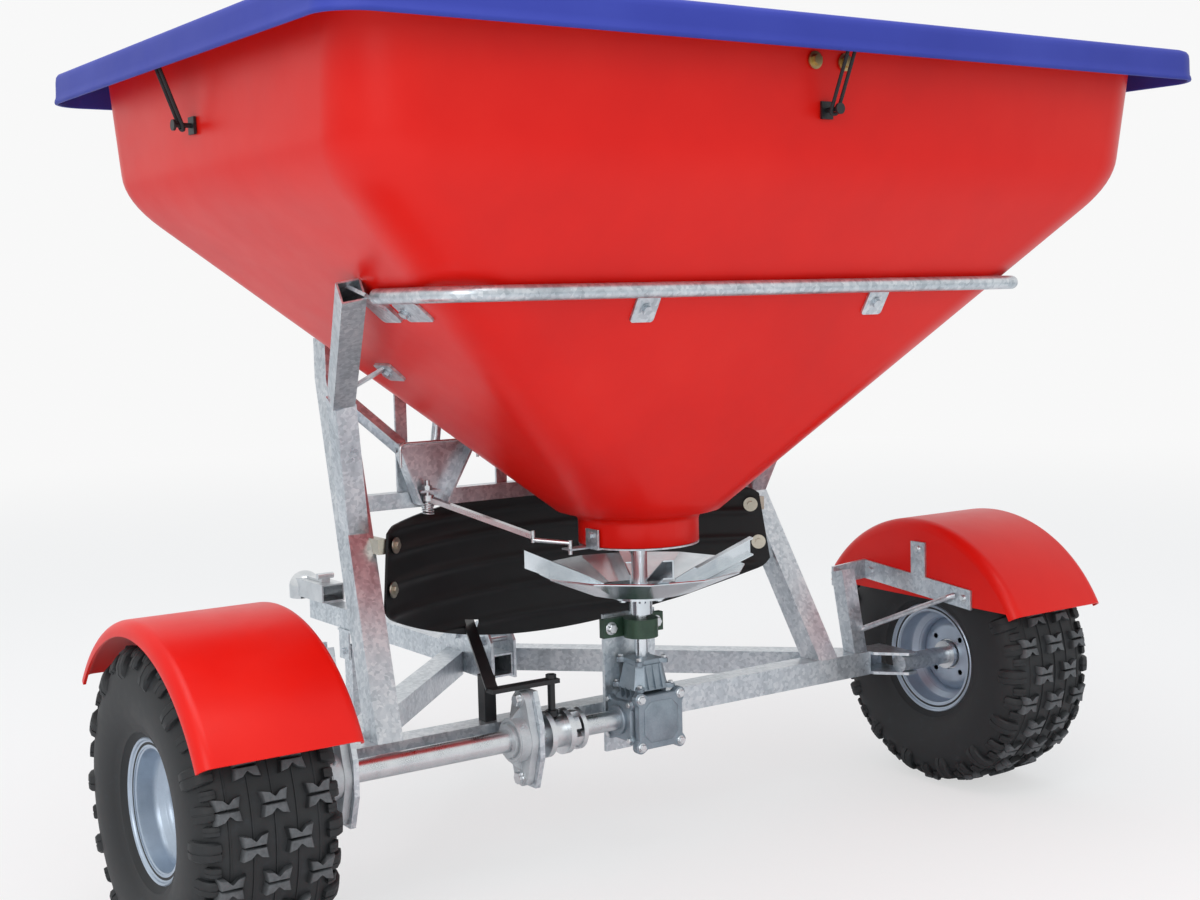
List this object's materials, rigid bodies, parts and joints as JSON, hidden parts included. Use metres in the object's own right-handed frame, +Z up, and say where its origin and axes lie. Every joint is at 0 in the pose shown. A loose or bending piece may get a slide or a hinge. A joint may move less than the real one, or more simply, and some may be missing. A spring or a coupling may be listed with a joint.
{
  "type": "trailed disc spreader",
  "caption": "Towed spreader with a tapered moulded hopper and lift-off lid over a wheel-driven spinning disc, on a welded tube frame with mudguards.",
  "frame": {"origin": "on the ground under the middle of the bounding box", "axes": "+X forward along the drawbar, +Y to the machine's left, +Z up"},
  "size_m": [2.145, 1.976, 1.5173],
  "materials": {
    "moulded_red": "satin moulded polyethylene",
    "moulded_blue": "satin moulded polyethylene",
    "moulded_black": "matte moulded sheet",
    "cord_black": "woven elastic cord",
    "galvanised": "hot-dip galvanised, spangled",
    "zinc_plate": "zinc plated",
    "stainless": "bright sheet",
    "rim_silver": "silver lacquer",
    "tyre_rubber": "matte rubber",
    "cast_alloy": "rough cast",
    "green_cast": "painted casting",
    "cast_grey": "painted casting"
  },
  "bodies": {
    "frame": {"axle_beam": "galvanised", "axle_bearing_inner": "cast_grey", "axle_bearing_outer": "cast_grey", "bearing_plates": "galvanised", "clutch_lever": "moulded_black", "coupler_handle": "zinc_plate", "cross_tube": "galvanised", "deflector": "moulded_black", "deflector_bolts": "zinc_plate", "drawbar_gussets": "galvanised", "drawbar_legs": "galvanised", "drawbar_tube": "galvanised", "gearbox": "cast_alloy", "gearbox_plate": "galvanised", "guard_bracket_left": "galvanised", "guard_bracket_right": "galvanised", "hitch_coupler": "zinc_plate", "hopper": "moulded_red", "hopper_bolts": "zinc_plate", "hopper_hoop": "galvanised", "lid_hooks": "zinc_plate", "metering_arm": "zinc_plate", "metering_bracket": "galvanised", "metering_gate": "galvanised", "mudguard_left": "moulded_red", "mudguard_right": "moulded_red", "pillow_bearing": "green_cast", "side_frame_left": "galvanised", "side_frame_right": "galvanised", "stand_bracket": "galvanised", "stub_axle": "galvanised"},
    "wheel_left": {"tyre_left": "tyre_rubber", "rim_left": "rim_silver", "axle_shaft": "zinc_plate", "clutch_collar": "zinc_plate"},
    "wheel_right": {"tyre_right": "tyre_rubber", "rim_right": "rim_silver", "hub_right": "zinc_plate"},
    "input_drive": {"input_shaft": "zinc_plate"},
    "spinner": {"spinner_disc": "stainless", "spinner_blades": "stainless", "spinner_shaft": "stainless"},
    "lid": {"hopper_lid": "moulded_blue", "lid_cords": "cord_black"},
    "stand": {"stand_leg": "galvanised"}
  },
  "joints": [
    {"name": "wheel_left_spin", "type": "hinge", "parent": "frame", "child": "wheel_left", "pos_m": [-0.4785, 0, 0.275], "axis": [0, 1, 0], "continuous": true},
    {"name": "wheel_right_spin", "type": "hinge", "parent": "frame", "child": "wheel_right", "pos_m": [-0.4785, 0, 0.275], "axis": [0, 1, 0], "continuous": true},
    {"name": "input_spin", "type": "hinge", "parent": "frame", "child": "input_drive", "pos_m": [-0.4785, 0, 0.275], "axis": [0, 1, 0], "continuous": true},
    {"name": "spinner_spin", "type": "hinge", "parent": "frame", "child": "spinner", "pos_m": [-0.4785, 0, 0.5], "axis": [0, 0, 1], "continuous": true},
    {"name": "lid_lift", "type": "slide", "parent": "frame", "child": "lid", "axis": [0, 0, 1], "range_m": [0, 0.12], "deforming": ["lid_cords"]},
    {"name": "stand_swing", "type": "hinge", "parent": "frame", "child": "stand", "pos_m": [0.7465, 0, 0.205], "axis": [0, 1, 0], "range_deg": [0, 90]}
  ],
  "couplings": [
    {"joint": "input_spin", "follows": "wheel_left_spin", "ratio": 1},
    {"joint": "spinner_spin", "follows": "wheel_left_spin", "ratio": 3}
  ]
}
